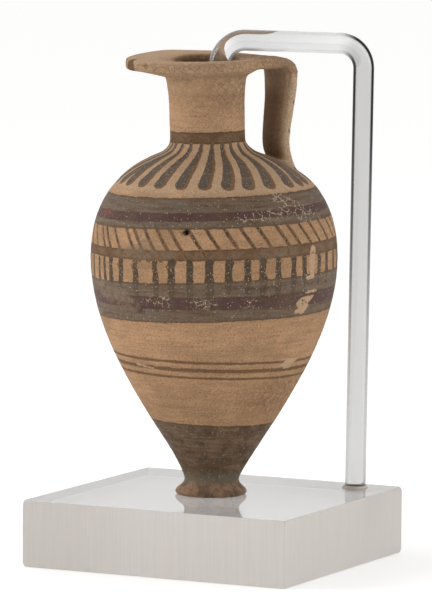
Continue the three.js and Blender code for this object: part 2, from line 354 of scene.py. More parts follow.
def painted_clay(colours):
    """Buff earthenware, thrown, smoothed wet and painted with clay slip before one firing.

    The eye gets a matt, finely gritty clay with faint turning lines, and a slightly smoother,
    dark skin of slip that is streaky from the brush and has flaked to the clay in small spots.
    The attributes hold distances in millimetres from the edges of the painted shapes.
    """
    material, node = new_material("Slip-painted earthenware, thrown and fired")
    place = node("Attribute", attribute_name="thrown_place").outputs["Vector"]
    fields = {
        name: node("Attribute", attribute_name=name).outputs["Fac"]
        for name in (*PAINT_EDGES, *OTHER_FIELDS)
    }
    height = node("SeparateXYZ", (place,)).outputs["Z"]

    # Grit of about 0.4 mm, mottling of about 12 mm, turning lines about 1 mm apart, spots of about
    # 1.5 mm, the fray of painted edges, and clouds of about 4 mm.
    flat = node("Mapping", {"Vector": place, "Scale": (0.07, 0.07, 1.0)})
    grit, mottle, lines, spots, frayed, clouds = (
        node("TexNoise", {"Vector": where, "Scale": scale, "Detail": detail, "Roughness": rough})
        for where, scale, detail, rough in (
            (place, 2.2, 3.0, 0.7), (place, 0.085, 5.0, 0.62), (flat, 1.0, 5.0, 0.68),
            (place, 0.62, 4.0, 0.65), (place, 0.5, 5.0, 0.55), (place, 0.28, 5.0, 0.7),
        )
    )
    fray = node("MapRange", (frayed, 0.3, 0.7, -0.16, 0.16))

    # The bare clay: warm and plain patches, turning lines, pits of grit, and dull patches that are
    # partly painted shade.
    warm = node("MapRange", (mottle, 0.4, 0.62))
    fired = node("MapRange", (height, 96.0, 108.0, 0.0, 0.6))
    warm = node("Math ADD", (warm, fired), use_clamp=True)
    streak = node("MapRange", (lines, 0.45, 0.72, 0.0, 0.6))
    pitted = node("MapRange", (grit, 0.42, 0.3, 0.0, 0.8))
    patch = node("MapRange", (spots, 0.4, 0.6))
    patch = node("Math MULTIPLY", (patch, fields["shade"]))

    # A painted edge is cut off over about a quarter of a millimetre, and slip pools inside it.
    soft = 0.13
    masks, pools = {}, {}
    for name in PAINT_EDGES:
        inside = node("Math ADD", (fields[name], fray))
        masks[name] = node("MapRange SMOOTHSTEP", (inside, -soft, soft))
        if name in ("band_edge", "brown_edge"):
            pools[name] = node("MapRange SMOOTHSTEP", (inside, 0.7, 0.25, 0.0, 0.75))

    # The slanting strokes repeat round the body: their field turns once from stroke to stroke.
    # Their dark cores come and go, and show the browner wash between.
    turned = node("Math ARCTAN2", (fields["slant_sine"], fields["slant_cosine"]))
    turned = node("Math ABSOLUTE", (turned,))
    off = node("Math MULTIPLY", (turned, fields["slant_pitch"]))
    off = node("Math MULTIPLY_ADD", (fray, 0.6, off))
    core_half = node("MapRange", (spots, 0.4, 0.58, -0.05, 0.36))
    for name, half in (("stroke_edge", 0.56), ("core_edge", core_half)):
        inside = node("Math SUBTRACT", (half, off))
        inside = node("Math MINIMUM", (inside, fields["slant_zone"]))
        inside = node("MapRange SMOOTHSTEP", (inside, -soft, soft))
        masks[name] = node("Math MAXIMUM", (masks[name], inside))

    lined = 0.0
    for middle, half in THIN_LINES:
        off = node("Math SUBTRACT", (fields["line_height"], middle))
        off = node("Math ABSOLUTE", (off,))
        off = node("Math MULTIPLY_ADD", (fray, 0.9, off))
        inside = node("Math SUBTRACT", (half, off))
        inside = node("MapRange SMOOTHSTEP", (inside, -0.2, 0.2))
        lined = node("Math MAXIMUM", (lined, inside))
    lined = node("Math MULTIPLY", (lined, 0.8))

    # Flakes: spots where the slip has gone, and whole patches where the flask was handled.
    flake = node("MapRange SMOOTHSTEP", (spots, 0.69, 0.73))
    islands = node("MapRange SMOOTHSTEP", (spots, 0.62, 0.57))
    worn = node("Math MULTIPLY", (masks["worn_edge"], islands))
    worn = node("Math MAXIMUM", (flake, worn))
    kept = node("Math SUBTRACT", (1.0, worn))

    # Pale specks of grit about 0.3 mm across show through the slip, most of all where it is thick.
    cells = node("TexVoronoi", {"Vector": place, "Scale": 1.8})
    near = node("MapRange", (cells.outputs["Distance"], 0.38, 0.16))
    higher = node("MapRange", (height, 20.0, 60.0, 0.9))
    near = node("Math MULTIPLY", (near, higher))
    chance = node("SeparateXYZ", (cells.outputs["Color"],)).outputs["X"]
    chance = node("Math ADD", (chance, spots))
    specks = node("MapRange", (chance, 1.27, 1.5))
    specks = node("Math MULTIPLY", (near, specks))
    thick = node("MapRange", (chance, 0.85, 1.4, 0.0, 0.9))
    thick = node("Math MULTIPLY", (near, thick))
    # So do scores about 0.2 mm wide. Where the clay is dull, the same lines are cracks with dirt.
    warped = node("VectorMath MULTIPLY_ADD", (spots.outputs["Color"], (1.5, 1.5, 1.5), place))
    scores = node("TexVoronoi", {"Vector": warped, "Scale": 0.46}, feature="DISTANCE_TO_EDGE")
    scores = node("MapRange", (scores.outputs["Distance"], 0.065, 0.025))
    broken = node("MapRange", (grit, 0.42, 0.55))
    scores = node("Math MULTIPLY", (scores, broken))
    cracks = node("Math MULTIPLY", (scores, fields["shade"]))
    cracks = node("Math MULTIPLY", (cracks, 0.85))
    scores = node("Math MULTIPLY", (scores, fields["scored"]))
    specks = node("Math MAXIMUM", (specks, scores))

    # The slips are streaky from the brush, cooler in patches, and browner where they pooled. The
    # shoulder's tongues are painted thinner than the bars.
    rubbed = node("MapRange", (lines, 0.36, 0.66, 0.0, 0.85))
    half_rubbed = node("Math MULTIPLY", (rubbed, 0.3))
    patchy = node("Math ADD", (mottle, spots))
    patchy = node("MapRange", (patchy, 0.92, 1.12, 0.0, 0.65))
    thinned = node("Math MULTIPLY", (patchy, 0.6))
    aloft = node("MapRange", (height, 84.0, 92.0, 0.0, 0.5))
    faded = node("MapRange", (mottle, 0.35, 0.6, 0.6))
    faded = node("Math MULTIPLY", (masks["purple_edge"], faded))
    pooled = node("Math MULTIPLY", (pools["brown_edge"], masks["brown_edge"]))
    drips = node("Math MULTIPLY", (masks["core_edge"], 0.6))
    smear = node("MapRange", (spots, 0.36, 0.6, 0.0, 0.8))
    smear = node("Math MULTIPLY", (smear, fields["smeared"]))
    # The clay is fresher and paler where the slip was knocked off.
    bare = node("Math MULTIPLY", (masks["worn_edge"], 0.5))
    # The foot goes from a worn brown rim, through a greyer waist, to a streaky dark cone.
    under = node("MapRange", (height, 30.0, 26.0))
    waist = node("MapRange", (height, 8.5, 5.0, 0.0, 0.85))
    waist = node("Math MULTIPLY_ADD", (patchy, 0.4, waist), use_clamp=True)
    rim = node("MapRange", (height, 4.6, 3.2, 0.0, 0.9))
    cloudy = node("MapRange", (clouds, 0.42, 0.62, 0.0, 0.7))
    rubbed_rim = node("MapRange", (clouds, 0.62, 0.46))
    rubbed_rim = node("Math MULTIPLY", (rim, rubbed_rim))
    streaky = node("MapRange", (lines, 0.42, 0.75, 0.0, 0.8))

    paint_layers = [
        (node("Math MULTIPLY", (mask, kept)), tone) for mask, tone in (
            (cracks, "pooled"), (masks["brown_edge"], "thin_paint"), (lined, "pooled"),
            (masks["stroke_edge"], "flush"), (masks["core_edge"], "stroke_paint"),
            (masks["band_edge"], "band_paint"), (drips, "stroke_paint"), (smear, "slip_worn"),
        )
    ]
    # Each finish is a colour with others laid over it, each through its own mask.
    tones = {name: getattr(colours, name) for name in FlaskColours.__annotations__}
    for finish, base, layers in (
        ("foot_paint", "foot", (
            (streaky, "foot_rim"), (cloudy, "foot_dark"), (waist, "foot_cool"), (rim, "foot"),
            (rubbed_rim, "foot_rim"),
        )),
        ("band_paint", "slip", (
            (rubbed, "slip_worn"), (patchy, "slip_cool"), (under, "foot_paint"), (faded, "purple"),
            (masks["crimson_edge"], "crimson"), (pools["band_edge"], "pooled"), (specks, "fleck"),
        )),
        ("stroke_paint", "core", (
            (half_rubbed, "slip_worn"), (aloft, "slip_cool"), (thick, "fleck"),
        )),
        ("thin_paint", "brown", ((thinned, "slip_worn"), (cloudy, "pooled"), (pooled, "pooled"))),
        ("skin", "clay", (
            (warm, "clay_warm"), (streak, "clay_dull"), (pitted, "clay_dull"), (patch, "clay_dull"),
            # Painted shade darkens towards the pooled slip colour, and painted light lightens
            # towards the pale clay.
            (fields["handled"], "pooled"), (fields["dusty"], "clay_lit_and_bare"), (bare, "clay_lit_and_bare"),
            *paint_layers,
        )),
    ):
        tone = tones[base]
        for mask, over in layers:
            tone = node("Mix RGBA", (mask, tone, tones[over]))
        tones[finish] = tone

    # Grit speckles all of it, and the pits are darkened with painted shade.
    speckle = node("MapRange", (grit, 0.3, 0.7, 0.74, 1.26))
    open_skin = node("Math SUBTRACT", (1.0, fields["pit"]), use_clamp=True)
    speckle = node("Math MULTIPLY", (speckle, open_skin))
    tone = node("VectorMath MULTIPLY", (tones["skin"], speckle))

    # Relief: grit, turning lines, dull patches and the slip's own thickness.
    laid = node("Math MAXIMUM", (masks["band_edge"], masks["stroke_edge"]))
    laid = node("Math MULTIPLY", (laid, kept))
    relief = node("Math MULTIPLY", (grit, 0.5))
    for part, amount in ((lines, 0.9), (patch, -0.9), (laid, 0.25)):
        relief = node("Math MULTIPLY_ADD", (part, amount, relief))
    bump = node("Bump", {"Strength": 0.7, "Distance": 0.0003, "Height": relief})
    rough = node("MapRange", (laid, 0.0, 1.0, 0.86, 0.62))
    shader = node("BsdfPrincipled", {
        "Base Color": tone, "Roughness": rough, "IOR": 1.5, "Normal": bump,
        "Specular IOR Level": 0.15,
    })
    node("OutputMaterial", (shader,))
    return material


def cast_acrylic(colours):
    """Cast acrylic sheet, polished: glassy, with some diffuse white as painted light on its level
    faces.
    """
    material, node = new_material("Clear acrylic, cast and polished")
    shader = node("BsdfPrincipled", {
        "Base Color": colours.acrylic, "Roughness": 0.03, "IOR": 1.49, "Transmission Weight": 0.82,
    })
    node("OutputMaterial", (shader,))
    return material


def drawn_acrylic(colours):
    """Acrylic rod, drawn and flame-polished: glassy, with a painted dark reflection along both
    edges.

    The line is painted reflection, and stays dark where plain glass would mirror the bright room.
    The leg and the top of the arm are painted grey as shade.
    """
    material, node = new_material("Clear acrylic, drawn and flame-polished")
    # Painted reflection: the rod's faces darken where they turn away, along its edges.
    facing = node("LayerWeight", {"Blend": 0.5}).outputs["Facing"]
    edge = node("MapRange SMOOTHSTEP", (facing, 0.24, 0.4))
    share = node("Attribute", attribute_name="edge_tone").outputs["Fac"]
    edge = node("Math MULTIPLY", (edge, share))
    # Painted shade: the rod is greyed where its attribute asks.
    deep = node("Attribute", attribute_name="grey_tone").outputs["Fac"]
    grey = node("Mix RGBA", (deep, colours.acrylic, colours.acrylic_shade))
    shader = node("BsdfPrincipled", {
        "Base Color": node("Mix RGBA", (edge, grey, colours.acrylic_edge_reflection)),
        "Roughness": 0.03, "IOR": 1.49,
        "Transmission Weight": node("Math SUBTRACT", (1.0, edge)),
        "Specular IOR Level": node("MapRange", (edge, 0.0, 1.0, 0.5, 0.05)),
    })
    node("OutputMaterial", (shader,))
    return material


def sawn_acrylic(colours):
    """Acrylic cut with a circular saw: satin and milky, with upright saw marks under 1 mm apart."""
    material, node = new_material("Clear acrylic, sawn edge")
    place = node("TexCoord").outputs["Object"]
    across = node("Mapping", {"Vector": place, "Scale": (2000.0, 2000.0, 40.0)})
    marks = node("TexNoise", {"Vector": across, "Scale": 1.0, "Detail": 4.0, "Roughness": 0.6})
    streak = node("MapRange", (marks, 0.35, 0.65))
    bump = node("Bump", {"Strength": 0.2, "Distance": 0.0001, "Height": marks})
    shader = node("BsdfPrincipled", {
        "Base Color": node("Mix RGBA", (streak, colours.sawn, colours.sawn_light)),
        "Roughness": 0.55, "IOR": 1.49, "Transmission Weight": 0.45, "Normal": bump,
    })
    node("OutputMaterial", (shader,))
    return material


def acrylic_cement(colours):
    """Acrylic cement, wetted round the rod and left to set: a slightly yellowed, cloudy bead."""
    material, node = new_material("Acrylic cement, set")
    place = node("TexCoord").outputs["Object"]
    cloud = node("TexNoise", {"Vector": place, "Scale": 700.0, "Detail": 3.0})
    bump = node("Bump", {"Strength": 0.4, "Distance": 0.0002, "Height": cloud})
    shader = node("BsdfPrincipled", {
        "Base Color": node("Mix RGBA", (cloud, colours.cement, colours.sawn_light)),
        "Roughness": 0.5, "IOR": 1.49, "Transmission Weight": 0.3, "Normal": bump,
    })
    node("OutputMaterial", (shader,))
    return material


# ---------------------------------------------------------------- the flask


def flask_outline():
    """The outside from under the foot, up over the lip and down the mouth, which is plugged."""
    return [
        (0, 0.8), (7.0, 0), (9.7, 0),
        *bezier([(10.3, 0.6), (10.3, 2.4), (7.7, 2.25), (7.7, 4.5)], 10),
        *bezier([(7.7, 4.5), (11.165, 14.82), (35.2, 41.21), (35.2, 67.8)], 60)[1:],
        *bezier([(35.2, 67.8), (35.2, 85.49), (26.86, 93.45), (13.6, 98.3)], 44)[1:],
        *bezier([(13.6, 98.3), (10.7, 99.86), (10.7, NECK_FOOT)], 8)[1:],
        *bezier([(10.7, 112.25), (11.0, 117.5), (11.5, 119.9)], 6),
        *bezier([(11.5, 119.9), (11.65, 120.75), (12.8, 120.85)], 4)[1:],
        *arc((LIP_RADIUS - 0.8, 123.1), 0.8, -90, 0, 5),
        *arc((LIP_RADIUS - 0.9, LIP_TOP - 0.9), 0.9, 0, 90, 5),
        (20.6, LIP_TOP), (9.1, 124.9), (8.45, 124.6), (8.1, 123.9), (8.1, 111.0), (0, 111.0),
    ]


def hollow_outline():
    """The space inside the body and the lower neck."""
    floor = 7.0
    cone = bezier([(4.7, 4.5), (8.165, 14.82), (32.2, 41.21), (32.2, 67.8)], 30)
    return [
        (0, floor), *[point for point in cone if point[1] > floor],
        *bezier([(32.2, 67.8), (32.2, 85.49), (23.86, 90.45), (12.4, 95.3)], 22)[1:],
        (7.95, NECK_FOOT), (7.95, 112.0), (0, 112.0),
    ]


def shape_lip(bm):
    """Draws the round lip in to two flats that meet over the handle."""
    neck, under_lip, flat, sharpness = 12.3, 120.6, 15.5, 1.4
    for vert in bm.verts:
        radius = math.hypot(vert.co.x, vert.co.y)
        if vert.co.z < under_lip or radius < neck:
            continue
        angle = math.degrees(math.atan2(vert.co.y, vert.co.x)) - HANDLE_AZIMUTH
        angle = abs((angle + 180) % 360 - 180)
        if angle > 100:
            continue
        # The lesser of the flat's reach and the lip's radius, with a soft change between.
        reach = flat / math.cos(math.radians(angle - 45))
        limit = math.exp(-sharpness * reach) + math.exp(-sharpness * LIP_RADIUS)
        limit = -math.log(limit) / sharpness
        new = neck + (radius - neck) * (limit - neck) / (LIP_RADIUS - neck)
        vert.co.x *= new / radius
        vert.co.y *= new / radius


def strap():
    """The strap handle, from inside the lip, round its corner and down to the shoulder."""
    out, across, up = Vector(TO_HANDLE), Vector(-ACROSS_HANDLE), Vector((0, 0, 1))
    path = [
        (9.0, 123.65), (14.0, 123.65), (19.0, 123.55), *arc((21.0, 120.5), 3.05, 90, 0, 6),
        *bezier([(24.0, 120.0), (24.0, 113.5), (21.65, 106.5), (21.65, 98.5)], 10),
        (21.8, 95.5), (22.3, 93.0), (23.0, 90.5),
    ]
    points = [out * reach + up * height for reach, height in path]
    stations = []
    for i, point in enumerate(points):
        along = points[min(i + 1, len(points) - 1)] - points[max(i - 1, 0)]
        share = min(max((path[i][1] - 93.0) / 28.6, 0), 1)
        deep = 1.9 if i < 3 else 1.47 + 0.35 * (1 - share) ** 3
        # The strap broadens at its top, most on the side away from the front.
        flare = 0.8 * share ** 3
        wide = 6.1 + 2.6 * share + flare
        stations.append(station(point + across * flare, along, across, wide, deep))
    return sweep(stations, 48, 0.42)


def lean(place):
    """Moves foot and neck off the axis, away from the handle, and tilts the lip, as if by hand."""
    x, y, z = place.T
    along = place @ TO_HANDLE
    neck = smooth(z, 88.0, NECK_FOOT)
    shift = neck * NECK_SHIFT + (1 - smooth(z, 0, 11.0)) * 0.65
    shift = shift + np.maximum(0, z - NECK_FOOT) * LIP_SLOPE
    # The strap sags away from the front, and its near edge stays up.
    sag = 0.6 - 0.65 * smooth(place @ ACROSS_HANDLE, 0.0, 7.0)
    lift = neck * (np.minimum(along, 0) * LIP_SLOPE - sag * smooth(along, 8.1, 21.2))
    # The mouth's rim dips towards the front and rises at the back.
    azimuth = math.radians(CAMERA_AZIMUTH)
    near = x * math.sin(azimuth) - y * math.cos(azimuth)
    rim = (1 - smooth(np.hypot(x, y), 9.0, 21.0)) * smooth(z, 112.0, 121.0)
    lift = lift - rim * (0.275 + 0.725 * np.clip(near / 8.1, -1, 1))
    # The lip's far side was thrown a little higher.
    lift = lift + 0.45 * smooth(-near, 6.0, 20.0) * smooth(z, 119.0, 122.0)
    return place - shift[:, None] * TO_HANDLE + lift[:, None] * np.array([0, 0, 1])


# Pits and knocks: degrees round from the front, height, width, depth in millimetres, and how dark
# their painted shade is.
KNOCKS = (
    (-13.5, 78.3, 1.15, 1.0, 1.0),
    (-33.0, 121.6, 0.7, 0.5, 0.3),
    (-30.0, 119.5, 0.6, 0.4, 0.2),
    (30.0, 113.5, 0.7, 0.3, 0.1),
    (-48.0, 124.3, 0.7, 0.5, 0.6),
    (97.5, 112.0, 0.9, 0.5, 0.8),
    (98.0, 103.8, 0.9, 0.5, 0.8),
    (96.5, 117.5, 0.7, 0.3, 0.4),
    (62.0, 33.5, 0.6, 0.4, 0.3),
)

# Chips that break an edge flat: degrees round from the front, height, size, the way that they face
# (sideways, upward) and depth.
CHIPS = (
    (-73, 123.4, 3.6, (0.55, -0.1), 0.85),
    (-84, 124.6, 1.6, (0.3, 0.7), 0.35),
    (152, 124.8, 2.2, (0.4, 0.5), 0.5),
    (18, 1.2, 1.6, (0.4, 0.2), 0.3),
)

# The painted bands: (bottom, its rise to the right, top, its rise to the right), in millimetres.
BANDS = (
    (-5.0, 0.0, 21.9, -0.5),
    (53.0, 1.15, 64.5, 1.5),
    (79.3, 1.25, 87.8, 0.95),
)
BROWN = (
    (70.5, 0.8, 73.6, 1.15),
    (101.4, 0.0, 104.7, 0.0),
)
PURPLE = (
    (56.6, 0.5, 60.2, 0.7),
    (81.5, 1.4, 83.8, 1.1),
)
# Three thin lines under the belly: their heights and half widths.
THIN_LINES = ((40.9, 0.4), (38.6, 0.54), (36.3, 0.34))
# A blot of redder slip, as brush strokes: each is (degrees, height, half width) points.
CRIMSON = (((-72.0, 82.0, 0.5), (-66.0, 82.2, 1.0), (-61.5, 82.0, 0.6)),)
# A rub of purple below its stripe, in the same terms.
PURPLE_RUB = (
    ((-41.0, 56.6, 0.3), (-38.5, 55.3, 0.35), (-35.5, 55.2, 0.35), (-34.0, 56.4, 0.3)),
    ((-38.0, 56.6, 0.3), (-36.5, 55.9, 0.3)),
)
# Where the paint has been rubbed off, in the same terms.
WORN = (
    ((43.6, 57.4, 0.7), (47.0, 57.8, 1.5), (50.0, 58.4, 1.2), (54.5, 59.2, 0.35)),
    ((43.4, 55.2, 0.6), (47.5, 55.6, 1.3), (50.5, 56.6, 0.7)),
    ((47.8, 60.6, 0.35), (56.2, 60.8, 0.4)),
    ((48.0, 64.6, 0.45), (53.0, 64.9, 0.5)),
    ((52.0, 65.4, 0.8), (51.6, 69.0, 1.3), (52.6, 72.6, 1.2)),
    ((43.0, 39.4, 0.4), (47.5, 40.2, 1.5), (52.0, 40.4, 1.0), (55.5, 41.0, 0.4)),
    ((46.0, 38.6, 0.35), (52.0, 38.9, 0.4)),
    ((-52.0, 39.3, 0.25), (-38.0, 38.7, 0.3)),
)
# Where wet slip was smeared, in the same terms.
SMEARED = (
    ((-50.0, 71.6, 1.6), (-36.0, 72.2, 2.4), (-20.0, 71.8, 1.2)),
    ((-38.0, 77.0, 1.2), (-31.0, 73.0, 1.8)),
    ((-66.0, 60.5, 3.0), (-50.0, 58.5, 3.6), (-40.0, 57.0, 1.6)),
    ((20.0, 71.8, 1.4), (40.0, 72.6, 1.8)),
)
# Where the slip is scored, in the same terms, with soft edges.
SCORED = (
    ((36.0, 87.5, 2.5), (58.0, 80.0, 3.8)),
    ((12.0, 82.0, 1.6), (40.0, 83.5, 2.4)),
    ((-31.0, 58.6, 2.0), (-22.0, 58.6, 2.0)),
    ((-9.0, 58.4, 1.8), (-1.0, 58.2, 2.0)),
    ((14.0, 58.4, 1.6), (20.0, 58.4, 1.8)),
    ((36.0, 16.0, 0.7), (46.0, 16.6, 0.8)),
)


def band_distance(bands, height, rise):
    """How far inside the nearest band each point lies, negative outside."""
    best = np.full(len(height), -9.0)
    for bottom, bottom_rise, top, top_rise in bands:
        inside = np.minimum(height - bottom - bottom_rise * rise, top + top_rise * rise - height)
        best = np.maximum(best, inside)
    return best


def stroke_distance(strokes, angle, along, radius):
    """How far inside the nearest brush stroke each point lies, negative outside.

    A stroke is a run of (degrees, distance up the skin, half width) points.
    """
    best = np.full(len(angle), -9.0)
    per_degree = np.maximum(radius, 1.0) * math.pi / 180
    for stroke in strokes:
        for (a0, s0, w0), (a1, s1, w1) in zip(stroke, stroke[1:]):
            x0, y0 = ((a0 - angle + 180) % 360 - 180) * per_degree, s0 - along
            dx, dy = (a1 - a0) * per_degree, s1 - s0
            share = np.clip(-(x0 * dx + y0 * dy) / np.maximum(dx * dx + dy * dy, 1e-6), 0, 1)
            away = np.hypot(x0 + share * dx, y0 + share * dy)
            best = np.maximum(best, w0 + (w1 - w0) * share - away)
    return best


def all_round(front, pitch, first, last):
    """The places seen from the front, and even ones round the back with a small wander."""
    behind = 360 - (last - first)
    count = round(behind / pitch)
    return list(front) + [
        last + behind / count * i + noise.noise(Vector((i * 1.7, pitch, 0.3))) * pitch * 0.15
        for i in range(1, count)
    ]


def brush_strokes():
    """The tongues on the shoulder and the upright bars, and the dark cores of both."""
    tongues = [-62, -48.5, -34.5, -20, -5.5, 8.5, 21.5, 36, 52, 63.5]
    strokes, cores = [], []
    for place in all_round(tongues, 12.5, -60, 62):
        twist = 13.5 + 0.11 * max(min(place, 60), -60)
        run = ((0, 90.9, 1.95), (0.34, 95.0, 1.5), (0.7, 98.5, 0.8), (1, 101.4, 0.45))
        strokes.append([(place + twist * share, height, half) for share, height, half in run])
        cores.append([
            (place + twist * share - 0.9, height + 0.1, half * 0.72) for share, height, half in run
        ])
    bars = [
        -67, -61.5, -56, -48.3, -39, -28, -19.9, -11.2, -2.4, 6.8, 15.6, 22.9, 31, 39.5, 46.3, 57.2,
        64.5,
    ]
    for index, place in enumerate(all_round(bars, 8.4, -67, 64.5)):
        rise = 1.1 * math.sin(math.radians(place))
        wander = [noise.noise(Vector((index * 2.3, step * 0.8, 5.1))) for step in range(5)]
        half = 0.85 + 0.28 * wander[0] + 0.25 * smooth(abs(place), 60, 20)
        # The slip of some bars ran down over the band below.
        foot = 57.6 if -42 < place < 2 or 21 < place < 40 else 61.6
        shape = ((70.1, 1.0), (69.0, 0.9), (66.6, 0.9), (64.4, 1.1), (foot + 2 * wander[1], 0.75))
        bar = [
            (place + 0.8 * wander[i], height + rise, half * wide * (1 + 0.25 * wander[i]))
            for i, (height, wide) in enumerate(shape)
        ]
        strokes.append(bar)
        cores.append([(angle, height, width - 0.12) for angle, height, width in bar])
        # Some bars start with a small hook where the brush touched down.
        if index in (3, 4, 6):
            strokes.append([(place - 2.2, 69.0 + rise, 0.45), (place, 67.9 + rise, 0.6)])
    return strokes, cores


def slant_fields(angle, height, radius, rise):
    """The slanting strokes, as a field that turns once from each stroke to the next."""
    tops = [
        -68, -63, -55.8, -46.6, -41.6, -35.2, -28.4, -21.8, -12.5, -4.1, 4.5, 12.4, 20.9, 30.8,
        37.4, 44.8, 52.3, 60.6,
    ]
    tops = sorted(all_round(tops, 8.2, -68, 60.6))
    places = np.array([tops[-1] - 360, *tops, tops[0] + 360])
    down = 79.4 + 1.2 * rise - height
    # A stroke leans by this many degrees for each millimetre that it falls, which narrows it.
    leaning = 1.12
    turned = np.interp(
        (angle - leaning * down - places[0]) % 360 + places[0], places, np.arange(len(places)),
    )
    before = np.clip(turned.astype(int), 0, len(places) - 2)
    pitch = np.radians(places[before + 1] - places[before]) * radius
    tilt = 1 / np.sqrt(1 + (math.radians(leaning) * radius) ** 2)
    # Left of the middle and towards the right, the strokes run on over the brown band.
    reach = 6.2 + 3.0 * smooth(angle, -42, -36) * smooth(angle, 0, -6)
    reach = reach + 1.5 * smooth(angle, 18, 24) * smooth(angle, 46, 40)
    return {
        "slant_sine": np.sin(turned * math.tau),
        "slant_cosine": np.cos(turned * math.tau),
        "slant_pitch": pitch * tilt / math.tau,
        "slant_zone": np.minimum(reach - down, down + 1.0),
    }


def from_front(place):
    """How many degrees round from the front each point lies, from -180 to 180."""
    angle = np.degrees(np.arctan2(place[:, 1], place[:, 0])) + 90 - CAMERA_AZIMUTH
    return (angle + 180) % 360 - 180


def paint(mesh, place, normals, broken, dark):
    """Writes the paint's distances, the clay's mottling, painted shade and painted light on its
    points.
    """
    z = place[:, 2]
    radius = np.hypot(place[:, 0], place[:, 1])
    angle = from_front(place)
    rise = np.sin(np.radians(angle))
    # Distances up the skin, measured along the outline of the body and neck.
    outline = np.array(flask_outline()[3:130])
    steps = np.hypot(*np.diff(outline, axis=0).T)
    lengths = np.concatenate([[0], np.cumsum(steps)])
    rows = np.maximum.accumulate(outline[:, 1] + np.arange(len(outline)) * 1e-6)

    def up_skin(height):
        return np.interp(height, rows, lengths)

    def inside(strokes):
        runs = [[(turn, up_skin(height), half) for turn, height, half in run] for run in strokes]
        return stroke_distance(runs, angle, up_skin(z), radius)

    strokes, cores = brush_strokes()
    values = {
        "band_edge": band_distance(BANDS, z, rise),
        "brown_edge": band_distance(BROWN, z, rise),
        "purple_edge": np.maximum(band_distance(PURPLE, z, rise), inside(PURPLE_RUB)),
        "stroke_edge": inside(strokes),
        "core_edge": inside(cores),
        "crimson_edge": inside(CRIMSON),
        "worn_edge": inside(WORN),
        "line_height": z + 0.55 * rise,
        "pit": dark,
        "scored": smooth(inside(SCORED), 0.0, 1.2),
        "smeared": smooth(inside(SMEARED), -0.8, 1.6) * (z < 90),
        **slant_fields(angle, z, radius, rise),
    }
    off_skin = radius - np.interp(z, rows, outline[:, 0])
    # Dull mottling, partly painted shade: low on the body to the right under the belly, on the lip
    # and the neck's right, and on the handle.
    low = 0.7 * smooth(angle, 10, 45) * (1 - smooth(angle, 70, 110))
    low = low * smooth(z, 22, 27) * (1 - smooth(z, 33, 38))
    neck = 0.25 + 0.5 * smooth(angle, -25, 40) * (1 - smooth(angle, 90, 130))
    neck = neck * smooth(z, 106, 116)
    lip = 0.75 * smooth(z, 118, 121) * (1 - 0.7 * smooth(z, 124.6, 125.0))
    strap_skin = 0.35 * ((off_skin > 1.0) & (z < 118))
    values["shade"] = np.maximum.reduce([low, neck, lip, strap_skin])
    # The paint is on the body and neck alone, not on the handle or inside.
    bare = (z > 106) | (off_skin > 1.0) | (off_skin < -1.5)
    for name in PAINT_EDGES[:-1]:
        values[name] = np.where(bare, -9.0, values[name])
    values["line_height"] = np.where(bare, 0.0, values["line_height"])
    values["slant_zone"] = np.where(bare, -9.0, values["slant_zone"])
    # Painted shade darkens the handle's inner face, most away from its near edge, the inside of the
    # mouth and the chips. The lip is a little darker, and the strap's top darker towards its outer
    # end.
    out, near_edge = place @ TO_HANDLE, place @ ACROSS_HANDLE
    inner_face = (z < 121.6) & (off_skin > 1.0) & (normals @ TO_HANDLE < -0.35) & (out > 0)
    inner_shade = 0.85 - 0.75 * smooth(near_edge, -1.0, 6.5)
    outside = 0.12 * smooth(z, 118, 121) + 0.2 * smooth(out, 14, 18) * (z > 121.6)
    outside = np.maximum(broken, outside)
    values["handled"] = np.where(inner_face, inner_shade, np.where(off_skin < -1.0, 0.5, outside))
    # Painted light: the lip's top and the handle's near side are painted paler, and the shoulder,
    # neck and lip paler than the belly, as faces that the light falls on.
    top = 0.6 * smooth(z, 124.7, 125.3) * (1 - 0.6 * smooth(out, 5, 15)) * (radius > 8.8)
    side = 0.85 * smooth(near_edge, 4.0, 6.5) * (off_skin > 1.0) * (out > 0) * (z < 120.5)
    shoulder = 0.12 + 0.36 * (1 - smooth(z, 98, 106))
    shoulder = shoulder * smooth(z, 86, 90) * (np.abs(off_skin) < 1.0)
    upper = 0.28 * smooth(z, 113, 118) * (off_skin > -1.0)
    values["dusty"] = np.maximum.reduce([top, side, shoulder, upper]) * (1 - broken)
    write_fields(mesh, values)
    layer = mesh.attributes.new("thrown_place", "FLOAT_VECTOR", "POINT")
    layer.data.foreach_set("vector", place.astype(np.float32).ravel())


